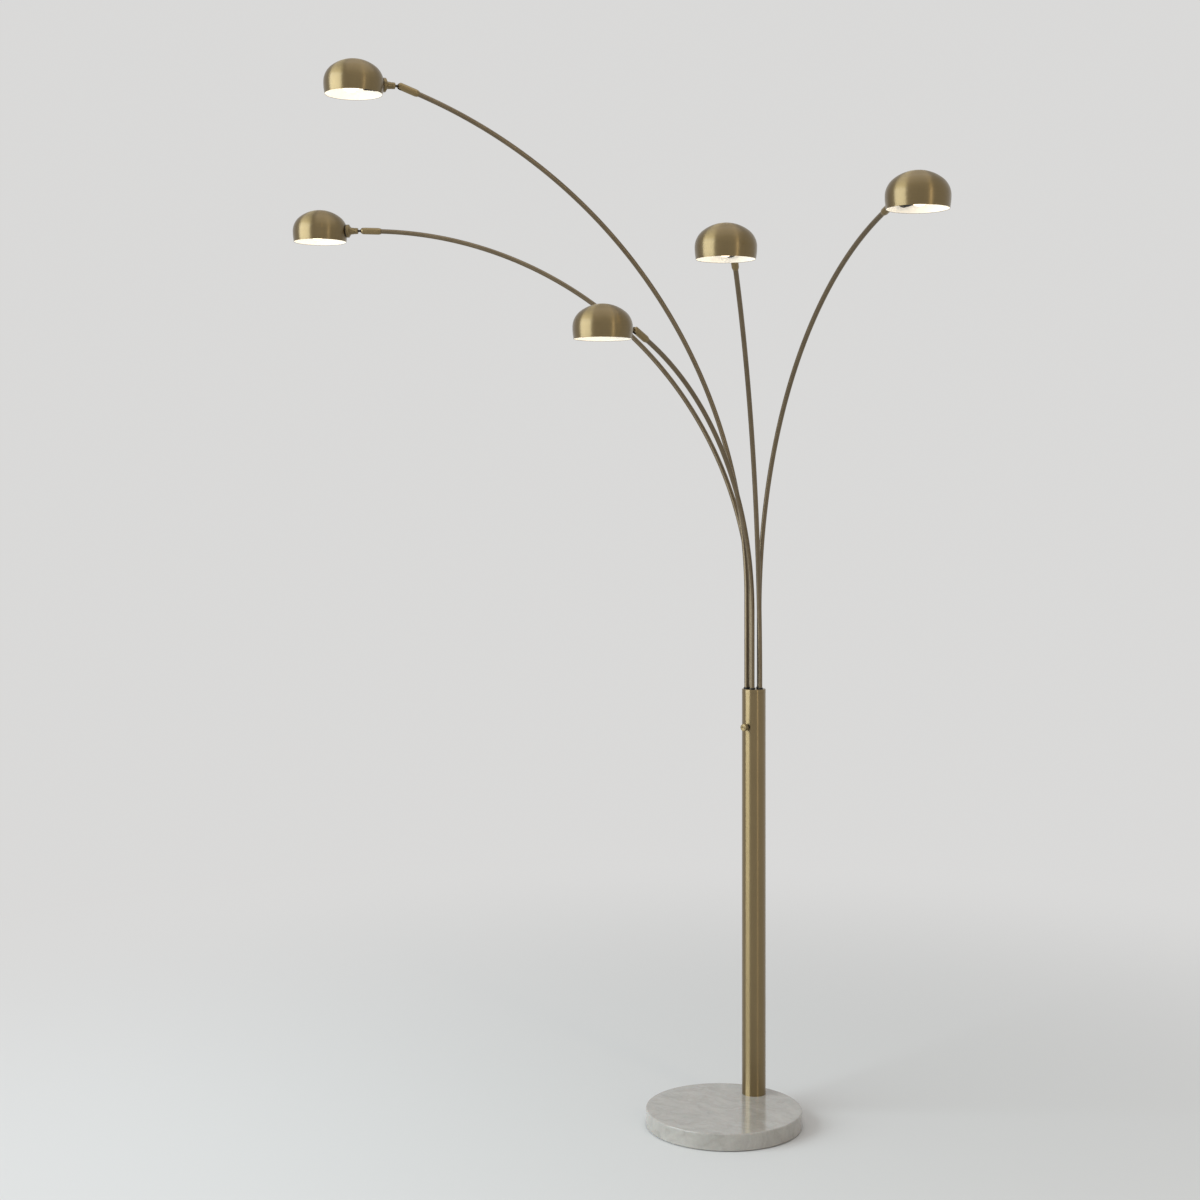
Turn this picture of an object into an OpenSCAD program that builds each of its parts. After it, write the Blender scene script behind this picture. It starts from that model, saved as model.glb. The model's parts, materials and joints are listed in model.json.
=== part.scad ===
// Multi-arm arc floor lamp: five curved tubes rise from one pole and each carries a domed
// metal shade. All lengths are in millimetres. The origin is the centre of the base's underside,
// +Z is up, and bearings are degrees from +X, counted anticlockwise seen from above.

/* [Base] */
// Diameter of the stone base
base_d = 320; // [300:5:360]
// Thickness of the stone base
base_t = 33; // [30:1:45]
// Radius of its eased upper edge
base_edge_r = 2.5; // [1:0.5:5]
// Thickness of the felt under the stone
felt_t = 2; // [1:0.5:4]
// How far the felt stays inside the stone's edge
felt_inset = 8; // [4:1:20]
// Distance from the base's centre to the pole's axis
pole_offset = 115; // [95:1:118]
// Bearing of the pole from the base's centre
pole_bearing = 53; // [0:1:90]
// Diameter of the clamping bolt
bolt_d = 12; // [8:1:14]
// Diameter of the big washer under the stone
clamp_washer_d = 52; // [40:1:56]
// Thickness of the big washer
clamp_washer_t = 3; // [2:0.5:4]

/* [Pole] */
// Outer diameter of the pole
pole_d = 50; // [48:1:60]
// Wall of the pole tube
pole_wall = 1.5; // [1:0.1:2]
// Height of the pole's top above the floor
pole_top = 885; // [700:5:1000]
// Visible height of the cap's rim
cap_rim_h = 8; // [5:0.5:14]
// Radius of the cap's upper edge
cap_edge_r = 1.2; // [0.5:0.1:2]
// Height of the plug welded into the pole's foot
foot_h = 15; // [10:1:25]
// Distance from the pole's axis to each arm stem
stem_circle_r = 15; // [14.8:0.1:15.4]
// Height of the carrier disc's underside, below the pole's top
carrier_drop = 54; // [45:1:70]
// Thickness of the carrier disc
carrier_t = 8; // [5:1:12]
// Diameter of the rod that ties the carrier to the cap
tie_rod_d = 9; // [6:0.5:9.5]
// Height of the cord grommet above the floor
grommet_z = 62; // [60:1:120]
// Bore of the cord grommet
grommet_bore = 6.5; // [5:0.5:8]

/* [Dimmer] */
// Distance of the dimmer's axis below the pole's top
dimmer_drop = 78; // [76:1:140]
// Bearing that the dimmer faces
dimmer_bearing = 232; // [200:1:280]
// Diameter of the dimmer knob
knob_d = 15; // [13:0.5:20]
// Length of the dimmer knob
knob_l = 9; // [8:0.5:14]
// How far the knob's face stands out from the pole
knob_reach = 15; // [15:0.5:22]

/* [Arms] */
// Outer diameter of every arm tube
arm_d = 10; // [8:0.5:10.4]
// Wall of every arm tube
arm_wall = 1; // [0.6:0.1:1.5]
// Bearing of the top left arm
arm1_bearing = 202.6; // [196:0.1:208]
// Height above the pole's top at which the top left arm starts to bend
arm1_rise = 191.5; // [160:0.5:230]
// Bend radius of the top left arm
arm1_radius = 1055; // [1000:1:1100]
// Bend angle of the top left arm
arm1_sweep = 71.4; // [65:0.1:80]
// Bearing of the longest arm
arm2_bearing = 176; // [170:1:180]
// Height above the pole's top at which the longest arm starts to bend
arm2_rise = 152; // [130:1:175]
// Bend radius of the longest arm
arm2_radius = 819; // [790:1:850]
// Bend angle of the longest arm
arm2_sweep = 87.9; // [82:0.1:92]
// Bearing of the lowest arm
arm3_bearing = 227; // [222:0.1:231]
// Height above the pole's top at which the lowest arm starts to bend
arm3_rise = 163.5; // [145:0.5:180]
// Bend radius of the lowest arm
arm3_radius = 619; // [605:1:640]
// Bend angle of the lowest arm
arm3_sweep = 62.4; // [58:0.1:67]
// Bearing of the front arm
arm4_bearing = 257.3; // [254:0.1:260]
// Height above the pole's top at which the front arm starts to bend
arm4_rise = 6; // [4:1:20]
// Bend radius of the front arm
arm4_radius = 1190; // [1150:1:1240]
// Bend angle of the front arm
arm4_sweep = 44.6; // [42:0.1:48]
// Bearing of the right arm
arm5_bearing = 288.8; // [285:0.1:293]
// Height above the pole's top at which the right arm starts to bend
arm5_rise = 158; // [135:1:180]
// Bend radius of the right arm
arm5_radius = 802; // [780:1:830]
// Bend angle of the right arm
arm5_sweep = 72.6; // [68:0.1:78]

/* [Shade joint] */
// Outer diameter of the sleeve at the arm's tip
sleeve_d = 14.4; // [13.8:0.1:16]
// Length of the sleeve from the tube's entry to the ball's centre
sleeve_l = 38; // [34:1:48]
// Depth to which the tube enters the sleeve
sleeve_socket = 18; // [12:1:22]
// Diameter of the joint's ball
ball_d = 10; // [9:0.1:10.6]
// Diameter of the ball's stem
ball_stem_d = 5; // [4:0.1:6]
// Bare length of the stem between sleeve and neck
stem_gap = 4.5; // [3:0.5:8]
// Diameter of the neck at the ball's end
neck_tip_d = 12.6; // [11:0.1:14]
// Diameter of the neck where its flange starts
neck_d = 15; // [13.5:0.1:17]
// Diameter of the neck's flange
flange_d = 28; // [25:0.5:30]
// Diameter of the dark washer between flange and shade
seat_washer_d = 27; // [24:0.5:29]
// Thickness of that washer
seat_washer_t = 1; // [0.5:0.5:2.5]

/* [Shade] */
// Largest diameter of a shade
shade_d = 116; // [108:1:130]
// Height from the widest line to the crown
crown_h = 45; // [40:1:52]
// Height from the rim to the widest line
skirt_h = 23; // [21:1:30]
// How much narrower the rim's radius is than the widest radius
rim_draw = 2.3; // [1:0.1:4]
// Thickness of the shade's sheet metal
shade_wall = 1; // [0.6:0.1:1.6]
// Radius of the rounded shoulder
shoulder_r = 38; // [34:1:39]
// Distance from the joint's ball to the shade's axis
shade_reach = 94; // [88:1:110]
// Diameter of each vent hole near the crown
vent_d = 5; // [2:0.5:6]
// Distance of the vent holes from the crown
vent_r = 20; // [14:1:28]
// Diameter of the lampholder
holder_d = 27; // [20:0.5:28]
// Length of the lampholder's body
holder_l = 33; // [28:1:36]
// Diameter of the bulb's globe
globe_d = 38; // [32:1:40]

/* [Hidden] */
$fn = 72;
ARM_COUNT = 5;
ARMS = [
    [arm1_bearing, pole_top + arm1_rise, arm1_radius, arm1_sweep, 180],
    [arm2_bearing, pole_top + arm2_rise, arm2_radius, arm2_sweep, 108],
    [arm3_bearing, pole_top + arm3_rise, arm3_radius, arm3_sweep, 252],
    [arm4_bearing, pole_top + arm4_rise, arm4_radius, arm4_sweep, 324],
    [arm5_bearing, pole_top + arm5_rise, arm5_radius, arm5_sweep, 36],
];
// Names of the columns of that table
BEARING = 0;
RISE = 1;
RADIUS = 2;
SWEEP = 3;
STEM = 4;
ARM_PARTS = [
    "arm_tube", "stem_collar", "arm_sleeve", "joint_ball", "shade_neck",
    "seat_washer", "shade", "lampholder", "bulb",
];

// Radial clearance of parts that turn in or sit in each other
fit = 0.05;
// Overrun of a cutting tool past the face it cuts
cut = 1;

BRASS = "#a8905f";
ARM_BRASS = "#8d7850";
STEEL = "#a7a9ab";
DARK = "#2a2622";
MARBLE = "#e6e5e3";

base_top = felt_t + base_t;
bolt_head_h = 0.62 * bolt_d;
bolt_head_af = 1.5 * bolt_d;
recess_clear = 2;
recess_d = clamp_washer_d + 2 * recess_clear;
recess_h = clamp_washer_t + bolt_head_h + recess_clear;
recess_roof = felt_t + recess_h;

pole_inner_d = pole_d - 2 * pole_wall;
insert_d = pole_inner_d - 2 * fit;
cap_spigot_h = 10;
cap_seam_h = 0.6;
cap_seam_depth = 0.5;
tie_spigot_d = tie_rod_d - 3;
tie_spigot_h = 5;
carrier_z = pole_top - carrier_drop;
carrier_top = carrier_z + carrier_t;
stem_hole_d = arm_d + 2 * fit;
bend_draw = 0.02;
bend_run_in = 1;
stem_tail = 4;
stem_washer_t = 1;
collar_d = arm_d + 5;
collar_h = 8;
countersink_d = arm_d + 2.6;
countersink_h = 4;
bush_stand = 3;

grommet_body_d = grommet_bore + 3;
grommet_flange_d = grommet_bore + 7;
grommet_lip_t = 1.5;

dimmer_z = pole_top - dimmer_drop;
dimmer_case_d = 20;
dimmer_depth = 18;
bushing_d = 9;
bushing_reach = 4.5;
shaft_d = 6;
nut_d = 12;
nut_t = 3;
knob_face = pole_d / 2 + knob_reach;
knob_dimple_d = 4;
knob_dimple_depth = 0.8;
knob_face_t = 2;
knob_crown = 1;

sleeve_taper_l = 5;
wire_way_d = 5;
slot_play = 0.4;
neck_start = sleeve_d / 2 + stem_gap;
shade_back = shade_reach - shade_d / 2;
flange_end = shade_back - seat_washer_t;
flange_t = 4;
flange_cone_l = 5;
neck_bore_d = 8.6;
stem_head_t = 2;
neck_nose_l = 8;
neck_step = neck_start + neck_nose_l;
spigot_d = 12;
spigot_past_wall = 9;
spigot_end = shade_back + shade_wall + spigot_past_wall;

holder_collar_d = 15;
holder_collar_start = shade_back + shade_wall + 1;
holder_start = holder_collar_start + 2;
holder_end = holder_start + holder_l;
bulb_cap_d = 13;
bulb_cap_l = 20;
bulb_neck_l = 8;
globe_x = holder_end + bulb_neck_l + globe_d / 2;
vent_pitch = 8.5;
rim_z = -skirt_h;

// Turning about the pole's axis
module at_pole() {
    rotate([0, 0, pole_bearing])
        translate([pole_offset, 0, 0])
            rotate([0, 0, -pole_bearing])
                children();
}

// A frame whose +X leaves the pole level at a height and a bearing
module radial(bearing, z) {
    at_pole()
        translate([0, 0, z])
            rotate([0, 0, bearing])
                children();
}

// Places on the stem circle, one for each arm
module at_stem(k) {
    at_pole()
        rotate([0, 0, ARMS[k - 1][STEM]])
            translate([stem_circle_r, 0, 0])
                rotate([0, 0, -ARMS[k - 1][STEM]])
                    children();
}

// A frame on the stem's foot whose +X points the way the arm leans
module arm_frame(k) {
    at_stem(k)
        rotate([0, 0, ARMS[k - 1][BEARING]])
            children();
}

// A frame at the end of the bend, +X along the tube
module tip_frame(k) {
    a = ARMS[k - 1];
    arm_frame(k)
        translate([a[RADIUS] * (1 - cos(a[SWEEP])), 0, a[RISE] + a[RADIUS] * sin(a[SWEEP])])
            rotate([0, a[SWEEP] - 90, 0])
                children();
}

// A level frame at the joint's ball, +X away from the pole
module head_frame(k) {
    tip_frame(k)
        translate([sleeve_l, 0, 0])
            rotate([0, 90 - ARMS[k - 1][SWEEP], 0])
                children();
}

// A cylinder that lies along +X from x0 to x1
module bar(d, x0, x1) {
    translate([x0, 0, 0])
        rotate([0, 90, 0])
            cylinder(d = d, h = x1 - x0);
}

// A cone that lies along +X
module bar_cone(d0, d1, x0, x1) {
    translate([x0, 0, 0])
        rotate([0, 90, 0])
            cylinder(d1 = d0, d2 = d1, h = x1 - x0);
}

// The section of an arm tube, thinned on both sides by the amount that bending draws it
module tube_section(thinned) {
    difference() {
        circle(d = arm_d - 2 * thinned, $fn = 48);
        circle(d = arm_d - 2 * arm_wall + 2 * thinned, $fn = 48);
    }
}

// Half of a shade's outline, grown inwards by an inset, or outwards where it is negative: a large arc over the crown, a tighter
// shoulder arc that meets it tangentially, and a shallow arc drawn in below the widest line
module shade_half(inset, below) {
    r = shade_d / 2;
    shoulder_x = r - shoulder_r;
    crown_r = (pow(shoulder_x, 2) + pow(crown_h, 2) - pow(shoulder_r, 2)) / (2 * (crown_h - shoulder_r));
    crown_y = crown_h - crown_r;
    join = atan2(-crown_y, shoulder_x);
    skirt_r = (pow(skirt_h, 2) + pow(rim_draw, 2)) / (2 * rim_draw);
    far = 2 * crown_r;
    intersection() {
        union() {
            intersection() {
                translate([0, crown_y])
                    circle(r = crown_r - inset, $fn = 180);
                polygon([[0, 0], [shoulder_x, 0], [shoulder_x + far * cos(join), far * sin(join)], [0, far]]);
            }
            intersection() {
                translate([shoulder_x, 0])
                    circle(r = shoulder_r - inset, $fn = 180);
                polygon([[shoulder_x, 0], [far, 0], [far, far * sin(join)],
                    [shoulder_x + far * cos(join), far * sin(join)]]);
            }
            intersection() {
                translate([r - skirt_r, 0])
                    circle(r = skirt_r - inset, $fn = 360);
                translate([0, -skirt_h - below])
                    square([r - min(inset, 0), skirt_h + below]);
            }
        }
        translate([0, -skirt_h - below])
            square([r - min(inset, 0), skirt_h + below + crown_h - min(inset, 0)]);
    }
}

// The shade's outer or inner form as a solid about its own axis
module shade_form(inset, below) {
    translate([shade_reach, 0, 0])
        rotate_extrude($fn = 120)
            shade_half(inset, below);
}

module felt_pad() {
    color("#3b3a38")
        cylinder(d = base_d - 2 * felt_inset, h = felt_t, $fn = 180);
}

module marble_base() {
    color(MARBLE)
        difference() {
            union() {
                translate([0, 0, felt_t])
                    cylinder(d = base_d, h = base_t - base_edge_r, $fn = 180);
                cylinder_top = base_top - base_edge_r;
                translate([0, 0, cylinder_top])
                    rotate_extrude($fn = 180)
                        union() {
                            square([base_d / 2 - base_edge_r, base_edge_r]);
                            intersection() {
                                translate([base_d / 2 - base_edge_r, 0])
                                    circle(r = base_edge_r, $fn = 48);
                                square([base_d / 2, base_edge_r]);
                            }
                        }
            }
            at_pole() {
                translate([0, 0, felt_t - cut])
                    cylinder(d = recess_d, h = recess_h + cut);
                translate([0, 0, felt_t])
                    cylinder(d = bolt_d + 2, h = base_t + cut);
            }
        }
}

module clamp_washer() {
    color(STEEL)
        at_pole()
            translate([0, 0, recess_roof - clamp_washer_t])
                difference() {
                    cylinder(d = clamp_washer_d, h = clamp_washer_t);
                    translate([0, 0, -cut])
                        cylinder(d = bolt_d + 1, h = clamp_washer_t + 2 * cut);
                }
}

module clamp_bolt() {
    head_z = recess_roof - clamp_washer_t - bolt_head_h;
    shank_top = base_top + foot_h - 2;
    color(STEEL)
        at_pole() {
            translate([0, 0, head_z])
                cylinder(d = bolt_head_af / cos(30), h = bolt_head_h, $fn = 6);
            translate([0, 0, head_z + bolt_head_h])
                cylinder(d = bolt_d, h = shank_top - head_z - bolt_head_h);
        }
}

module pole_foot() {
    color(STEEL)
        at_pole()
            translate([0, 0, base_top])
                difference() {
                    cylinder(d = insert_d, h = foot_h);
                    translate([0, 0, -cut])
                        cylinder(d = bolt_d + 2 * fit, h = foot_h + 2 * cut);
                }
}

module pole_tube() {
    tube_top = pole_top - cap_rim_h;
    color(BRASS)
        difference() {
            at_pole()
                translate([0, 0, base_top])
                    difference() {
                        cylinder(d = pole_d, h = tube_top - base_top);
                        translate([0, 0, -cut])
                            cylinder(d = pole_inner_d, h = tube_top - base_top + 2 * cut);
                    }
            radial(dimmer_bearing, dimmer_z)
                bar(bushing_d + 2 * fit, 0, pole_d);
            radial(pole_bearing, grommet_z)
                bar(grommet_body_d + 2 * fit, 0, pole_d);
        }
}

module pole_cap() {
    rim_z0 = pole_top - cap_rim_h;
    color(BRASS)
        difference() {
            at_pole() {
                translate([0, 0, rim_z0])
                    cylinder(d = pole_d - 2 * cap_seam_depth, h = cap_rim_h - cap_edge_r);
                translate([0, 0, rim_z0 + cap_seam_h])
                    cylinder(d = pole_d, h = cap_rim_h - cap_edge_r - cap_seam_h);
                translate([0, 0, pole_top - cap_edge_r])
                    rotate_extrude()
                        union() {
                            square([pole_d / 2 - cap_edge_r, cap_edge_r]);
                            intersection() {
                                translate([pole_d / 2 - cap_edge_r, 0])
                                    circle(r = cap_edge_r, $fn = 32);
                                square([pole_d / 2, cap_edge_r]);
                            }
                        }
                translate([0, 0, rim_z0 - cap_spigot_h])
                    cylinder(d = insert_d, h = cap_spigot_h);
            }
            for (k = [1:ARM_COUNT])
                at_stem(k) {
                    translate([0, 0, rim_z0 - cap_spigot_h - cut])
                        cylinder(d = stem_hole_d, h = cap_spigot_h + cap_rim_h + 2 * cut);
                    translate([0, 0, pole_top - countersink_h])
                        cylinder(d = countersink_d, h = countersink_h + cut);
                }
            at_pole()
                translate([0, 0, rim_z0 - cap_spigot_h - cut])
                    cylinder(d = tie_spigot_d + 2 * fit, h = tie_spigot_h + cut + fit);
        }
}

module stem_bushes() {
    color(DARK)
        for (k = [1:ARM_COUNT])
            at_stem(k)
                translate([0, 0, pole_top - countersink_h])
                    difference() {
                        cylinder(d = countersink_d - 2 * fit, h = countersink_h + bush_stand);
                        translate([0, 0, -cut])
                            cylinder(d = stem_hole_d, h = countersink_h + bush_stand + 2 * cut);
                    }
}

module stem_carrier() {
    color(STEEL)
        difference() {
            at_pole()
                translate([0, 0, carrier_z])
                    cylinder(d = insert_d, h = carrier_t);
            for (k = [1:ARM_COUNT])
                at_stem(k)
                    translate([0, 0, carrier_z - cut])
                        cylinder(d = stem_hole_d, h = carrier_t + 2 * cut);
            at_pole()
                translate([0, 0, carrier_top - tie_spigot_h - fit])
                    cylinder(d = tie_spigot_d + 2 * fit, h = tie_spigot_h + fit + cut);
        }
}

module stem_washers() {
    color("#d8cfa8")
        for (k = [1:ARM_COUNT])
            at_stem(k)
                translate([0, 0, carrier_top])
                    difference() {
                        cylinder(d = collar_d, h = stem_washer_t);
                        translate([0, 0, -cut])
                            cylinder(d = stem_hole_d + 2 * fit, h = stem_washer_t + 2 * cut);
                    }
}

module tie_rod() {
    cap_underside = pole_top - cap_rim_h - cap_spigot_h;
    color(STEEL)
        at_pole() {
            translate([0, 0, carrier_top - tie_spigot_h])
                cylinder(d = tie_spigot_d, h = cap_underside - carrier_top + 2 * tie_spigot_h);
            translate([0, 0, carrier_top])
                cylinder(d = tie_rod_d, h = cap_underside - carrier_top);
        }
}

module cord_grommet() {
    outer = pole_d / 2;
    inner = pole_inner_d / 2;
    color(DARK)
        difference() {
            radial(pole_bearing, grommet_z)
                union() {
                    bar(grommet_flange_d, inner, outer + grommet_lip_t);
                    bar(grommet_body_d, inner - grommet_lip_t, outer);
                }
            difference() {
                at_pole()
                    translate([0, 0, grommet_z - grommet_flange_d])
                        cylinder(d = pole_d, h = 2 * grommet_flange_d);
                radial(pole_bearing, grommet_z)
                    bar(grommet_body_d, 0, pole_d);
            }
            radial(pole_bearing, grommet_z)
                bar(grommet_bore, 0, pole_d);
        }
}

module dimmer_body() {
    inner = pole_inner_d / 2;
    color(DARK) {
        intersection() {
            radial(dimmer_bearing, dimmer_z)
                bar(dimmer_case_d, inner - dimmer_depth, inner + pole_wall);
            at_pole()
                translate([0, 0, dimmer_z - dimmer_case_d])
                    cylinder(d = insert_d, h = 2 * dimmer_case_d);
        }
        radial(dimmer_bearing, dimmer_z) {
            bar(bushing_d, inner - dimmer_depth / 2, pole_d / 2 + bushing_reach);
            bar(shaft_d, pole_d / 2, knob_face - 2);
        }
    }
}

module dimmer_nut() {
    color(DARK)
        difference() {
            radial(dimmer_bearing, dimmer_z)
                bar(nut_d, pole_d / 2 - pole_wall, pole_d / 2 + nut_t);
            radial(dimmer_bearing, dimmer_z)
                bar(bushing_d + 2 * fit, 0, pole_d);
            at_pole()
                translate([0, 0, dimmer_z - nut_d])
                    cylinder(d = pole_d, h = 2 * nut_d);
        }
}

module dimmer_knob() {
    knob_back = knob_face - knob_l;
    color(BRASS)
        radial(dimmer_bearing, dimmer_z)
            difference() {
                union() {
                    bar(knob_d, knob_back, knob_face - knob_crown);
                    bar_cone(knob_d, knob_d - 2 * knob_crown, knob_face - knob_crown, knob_face);
                }
                bar(shaft_d + 2 * fit, knob_back - cut, knob_face - knob_face_t + fit);
                bar(knob_dimple_d, knob_face - knob_dimple_depth, knob_face + cut);
            }
}

module arm_tube(k) {
    a = ARMS[k - 1];
    stem_foot = carrier_z - stem_tail;
    color(ARM_BRASS) {
        arm_frame(k) {
            translate([0, 0, stem_foot])
                linear_extrude(a[RISE] - stem_foot + bend_run_in)
                    tube_section(0);
            translate([a[RADIUS], 0, a[RISE]])
                rotate([90, 0, 0])
                    rotate([0, 0, 180 - a[SWEEP]])
                        rotate_extrude(angle = a[SWEEP], $fn = 180)
                            translate([a[RADIUS], 0])
                                tube_section(bend_draw);
        }
        tip_frame(k)
            translate([-bend_run_in, 0, 0])
                rotate([0, 90, 0])
                    linear_extrude(sleeve_socket + bend_run_in)
                        tube_section(0);
    }
}

module stem_collar(k) {
    color(STEEL)
        at_stem(k)
            translate([0, 0, carrier_top + stem_washer_t + fit])
                difference() {
                    cylinder(d = collar_d, h = collar_h);
                    translate([0, 0, -cut])
                        cylinder(d = stem_hole_d, h = collar_h + 2 * cut);
                }
}

module arm_sleeve(k) {
    color(BRASS)
        tip_frame(k)
            difference() {
                union() {
                    bar_cone(arm_d + 2, sleeve_d, 0, sleeve_taper_l);
                    bar(sleeve_d, sleeve_taper_l, sleeve_l);
                    translate([sleeve_l, 0, 0])
                        sphere(d = sleeve_d, $fn = 64);
                }
                bar(arm_d + 2 * fit, -cut, sleeve_socket + fit);
                bar(wire_way_d, 0, sleeve_l);
                translate([sleeve_l, 0, 0]) {
                    sphere(d = ball_d + 2 * fit, $fn = 64);
                    translate([-ball_stem_d / 2 - slot_play, -ball_stem_d / 2 - slot_play, -sleeve_d])
                        cube([sleeve_d, ball_stem_d + 2 * slot_play, 2 * sleeve_d]);
                }
            }
}

module joint_ball(k) {
    color(DARK)
        head_frame(k) {
            sphere(d = ball_d, $fn = 64);
            bar(ball_stem_d, 0, neck_step + stem_head_t);
            bar(neck_bore_d - 1, neck_step + fit, neck_step + fit + stem_head_t);
        }
}

module shade_neck(k) {
    cone_start = flange_end - flange_t - flange_cone_l;
    color(BRASS)
        head_frame(k)
            difference() {
                union() {
                    bar_cone(neck_tip_d, neck_d, neck_start, cone_start);
                    bar_cone(neck_d, flange_d, cone_start, flange_end - flange_t);
                    bar(flange_d, flange_end - flange_t, spigot_end);
                }
                difference() {
                    shade_form(-seat_washer_t - fit, skirt_h);
                    bar(spigot_d, 0, shade_reach);
                }
                bar(ball_stem_d + 2 * fit, 0, neck_step + cut);
                bar(neck_bore_d, neck_step, spigot_end + cut);
            }
}

module seat_washer(k) {
    color(DARK)
        head_frame(k)
            difference() {
                intersection() {
                    bar(seat_washer_d, flange_end - flange_t, shade_reach);
                    shade_form(-seat_washer_t, skirt_h);
                }
                bar(spigot_d + 2 * fit, 0, shade_reach + cut);
                shade_form(0, skirt_h);
            }
}

module shade(k) {
    color(BRASS)
        head_frame(k)
            difference() {
                shade_form(0, 0);
                shade_form(shade_wall, cut);
                bar(spigot_d + 2 * fit, 0, shade_reach);
                for (side = [-1, 1])
                    translate([shade_reach + vent_r, side * vent_pitch / 2, 0])
                        cylinder(d = vent_d, h = crown_h + cut);
            }
}

module lampholder(k) {
    color("#1d1c1b")
        head_frame(k)
            difference() {
                union() {
                    bar(holder_collar_d, holder_collar_start, holder_start);
                    bar(holder_d, holder_start, holder_end);
                }
                bar(spigot_d + 2 * fit, 0, spigot_end + fit);
                bar(bulb_cap_d + 2 * fit, holder_end - bulb_cap_l - fit, holder_end + cut);
            }
}

module bulb(k) {
    color("#fff3d6")
        head_frame(k) {
            bar(bulb_cap_d, holder_end - bulb_cap_l, holder_end);
            bar_cone(bulb_cap_d, 0.8 * globe_d, holder_end, globe_x - 0.3 * globe_d);
            translate([globe_x, 0, 0])
                sphere(d = globe_d, $fn = 64);
        }
}

felt_pad();
marble_base();
clamp_washer();
clamp_bolt();
pole_foot();
pole_tube();
pole_cap();
stem_bushes();
stem_carrier();
stem_washers();
tie_rod();
cord_grommet();
dimmer_body();
dimmer_nut();
dimmer_knob();
for (k = [1:ARM_COUNT]) {
    arm_tube(k);
    stem_collar(k);
    arm_sleeve(k);
    joint_ball(k);
    shade_neck(k);
    seat_washer(k);
    shade(k);
    lampholder(k);
    bulb(k);
}
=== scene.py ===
"""Multi-arm arc floor lamp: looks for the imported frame. Metres, +Z up, +Y away from the viewer."""
import json
import math

import bmesh
import bpy
import numpy as np
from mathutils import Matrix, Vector


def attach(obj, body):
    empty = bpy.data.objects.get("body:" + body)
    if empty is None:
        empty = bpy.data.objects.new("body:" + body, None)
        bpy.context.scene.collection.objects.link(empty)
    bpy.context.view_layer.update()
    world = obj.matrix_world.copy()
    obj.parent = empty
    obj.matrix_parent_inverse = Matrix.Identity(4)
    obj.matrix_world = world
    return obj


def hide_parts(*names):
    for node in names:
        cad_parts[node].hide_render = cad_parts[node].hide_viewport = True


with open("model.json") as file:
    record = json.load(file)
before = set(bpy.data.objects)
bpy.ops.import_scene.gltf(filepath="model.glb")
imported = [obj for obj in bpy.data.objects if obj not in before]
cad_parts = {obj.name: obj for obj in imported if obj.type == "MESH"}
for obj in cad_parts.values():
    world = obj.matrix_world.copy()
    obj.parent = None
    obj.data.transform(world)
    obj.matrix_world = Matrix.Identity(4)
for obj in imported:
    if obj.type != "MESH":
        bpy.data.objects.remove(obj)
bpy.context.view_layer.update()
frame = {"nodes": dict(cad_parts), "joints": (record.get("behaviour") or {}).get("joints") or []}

MM = 0.001
HEADS = (1, 2, 3, 4, 5)
SMOOTH_ANGLE = math.radians(38)
WELD_M = 2e-6

# Height where each arm starts to bend, bend radius and bend angle, as in the construction
ARM_BENDS = {1: (1076.5, 1055, 71.4), 2: (1037, 819, 87.9), 3: (1048.5, 619, 62.4),
             4: (891, 1190, 44.6), 5: (1043, 802, 72.6)}
STEM_FOOT = 827 * MM
TUBE_R = 5 * MM
TUBE_WALL = 1 * MM
SLEEVE_SOCKET = 18 * MM

# Shade, in millimetres from its own axis and from its widest line
SHADE_R = 58.0
CROWN_H = 45.0
SKIRT_H = 23.0
RIM_DRAW = 2.3
SHOULDER_R = 38.0
SHADE_REACH = 94.0
WALL = 1.0
SKIN_T = 0.55
LIP_H = 0.45
LINING_START = 0.56
LINING_STOP_OUT, LINING_STOP_IN = 0.5, 0.7
VENT_R = 20.0
VENT_PITCH = 8.5
VENT_D = 5.0

# Neck, in millimetres from the ball's centre: rows written from SEAT_FIRST to SEAT_LAST follow the
# dome, SEAT_GAP outside it
SPIGOT_D = 12.0
SPIGOT_PLAY = 0.05
FLANGE_R = 14.0
SEAT_GAP = 1.05
SEAT_MARK = 39.0
SEAT_FIRST, SEAT_LAST = SEAT_MARK - 1.5, SEAT_MARK + 0.01

# Bulb's globe, in millimetres from the ball's centre
GLOBE_X = 100.0
GLOBE_R = 19.0

# Where the knob's joint lies, from the pole's axis
KNOB_JOINT = 30 * MM

# Studio: tone of the surroundings and of the far floor
PALE = 0.70
PALE_TINT = (1.0, 0.995, 0.985, 1.0)

# The photograph's own viewpoint
CAMERA_PLACE = (-0.2541, -3.845, 1.3056)
CAMERA_LENS = 56.19
CAMERA_SENSOR = 36.0
CAMERA_SHIFT = -0.0929

joints = {j["name"]: j for j in frame["joints"]}


# ---------------------------------------------------------------- surfaces

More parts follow.
